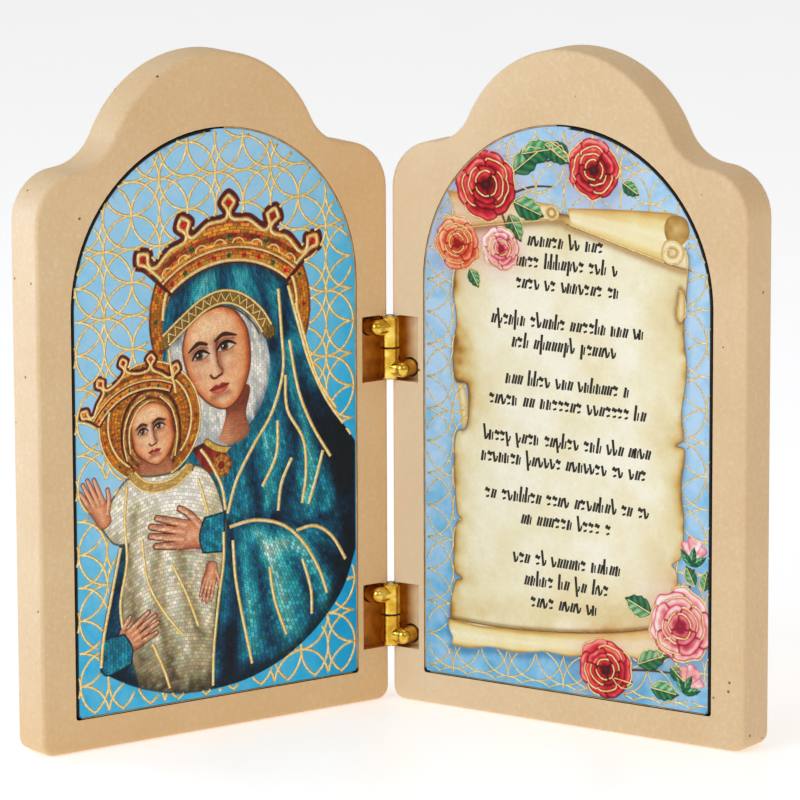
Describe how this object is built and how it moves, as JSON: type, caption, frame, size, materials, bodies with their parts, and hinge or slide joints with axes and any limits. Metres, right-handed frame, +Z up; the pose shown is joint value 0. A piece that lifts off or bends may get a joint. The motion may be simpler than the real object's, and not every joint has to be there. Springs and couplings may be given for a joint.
{
  "type": "religious diptych",
  "caption": "Tabletop devotional diptych: shouldered-arch panels with inset round-arched picture plates, folding on small brass pin hinges.",
  "frame": {"origin": "middle of the footprint, on the surface that the diptych stands on", "axes": "+Z up, the picture faces look towards -Y, +X to the right seen from the front, hinge line on X = 0 at the back"},
  "size_m": [0.1474, 0.0548, 0.136],
  "materials": {
    "panel": "satin moulded wood paste, beige with fine flecks",
    "icon_print": "satin printed plate with gold lines",
    "verse_print": "satin printed plate with gold lines",
    "hinge_brass": "polished",
    "pin_brass": "satin"
  },
  "bodies": {
    "left_half": {"left_panel": "panel", "left_plate": "icon_print", "upper_hinge_left_leaf": "hinge_brass", "lower_hinge_left_leaf": "hinge_brass", "upper_hinge_pin": "pin_brass", "lower_hinge_pin": "pin_brass"},
    "right_half": {"right_panel": "panel", "right_plate": "verse_print", "upper_hinge_right_leaf": "hinge_brass", "lower_hinge_right_leaf": "hinge_brass"}
  },
  "joints": [
    {"name": "fold", "type": "hinge", "parent": "left_half", "child": "right_half", "pos_m": [0, 0.02005, 0.0452], "axis": [0, 0, 1], "range_deg": [-110, 70]}
  ]
}
